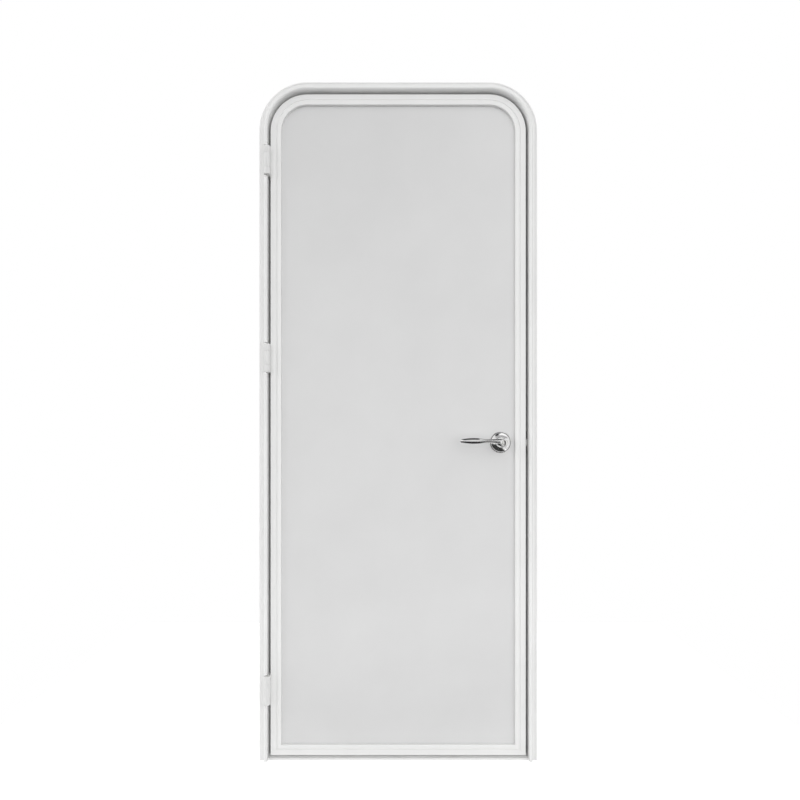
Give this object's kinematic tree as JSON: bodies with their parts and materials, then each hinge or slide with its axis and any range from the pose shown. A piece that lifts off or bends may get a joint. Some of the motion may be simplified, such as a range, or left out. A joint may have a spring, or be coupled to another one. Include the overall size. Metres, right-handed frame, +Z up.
{
  "type": "caravan entry door",
  "caption": "White caravan entry door with rounded top corners, hinged on the left in a flanged aluminium wall frame, with a keyed lever handle.",
  "frame": {"origin": "on the wall plane at the back of the wall flange, at the middle of the door's width and the foot of the jambs", "axes": "+X to the right as seen from outside, +Y into the caravan, +Z up"},
  "size_m": [0.75, 0.1646, 1.83],
  "materials": {
    "white_frame": "white powder coat on aluminium extrusion, semi-gloss",
    "white_skin": "smooth white coil-coated aluminium sheet, satin",
    "white_hinge": "white powder coat on cast aluminium",
    "seal_rubber": "grey extruded rubber, matt",
    "core_foam": "rigid foam board, fine closed cells",
    "lock_chrome": "bright plated zinc casting, lightly satin",
    "plug_steel": "turned and brushed key plug",
    "latch_steel": "zinc-plated steel",
    "strike_steel": "brushed stainless steel plate",
    "pin_steel": "stainless steel pin with its ends coated white"
  },
  "bodies": {
    "wall_frame": {"jamb_hoop": "white_frame", "sill": "white_frame", "jamb_seal": "seal_rubber", "sill_seal": "seal_rubber", "strike_plate": "strike_steel", "upper_hinge_jamb_half": "white_hinge", "upper_hinge_pin": "pin_steel", "middle_hinge_jamb_half": "white_hinge", "middle_hinge_pin": "pin_steel", "lower_hinge_jamb_half": "white_hinge", "lower_hinge_pin": "pin_steel"},
    "leaf": {"leaf_edge_frame": "white_frame", "leaf_bottom_rail": "white_frame", "outer_skin": "white_skin", "inner_skin": "white_skin", "foam_core": "core_foam", "outer_rose": "lock_chrome", "inner_rose": "lock_chrome", "latch_case": "latch_steel", "latch_faceplate": "latch_steel", "latch_bolt": "latch_steel", "upper_hinge_leaf_half": "white_hinge", "middle_hinge_leaf_half": "white_hinge", "lower_hinge_leaf_half": "white_hinge"},
    "lever_set": {"outer_lever": "lock_chrome", "inner_lever": "lock_chrome", "spindle": "latch_steel", "turn_button": "lock_chrome"},
    "key_cylinder": {"key_plug": "plug_steel"}
  },
  "joints": [
    {"name": "door_swing", "type": "hinge", "parent": "wall_frame", "child": "leaf", "pos_m": [-0.352, -0.0105, 0.9], "axis": [0, 0, -1], "range_deg": [0, 170]},
    {"name": "lever_turn", "type": "hinge", "parent": "leaf", "child": "lever_set", "pos_m": [0.2775, 0.017, 0.858], "axis": [0, -1, 0], "range_deg": [0, 45], "stiffness_Nm_per_rad": 1.2, "springref_deg": -28.65},
    {"name": "key_turn", "type": "hinge", "parent": "lever_set", "child": "key_cylinder", "pos_m": [0.2775, -0.05, 0.858], "axis": [0, -1, 0], "range_deg": [0, 90]}
  ]
}
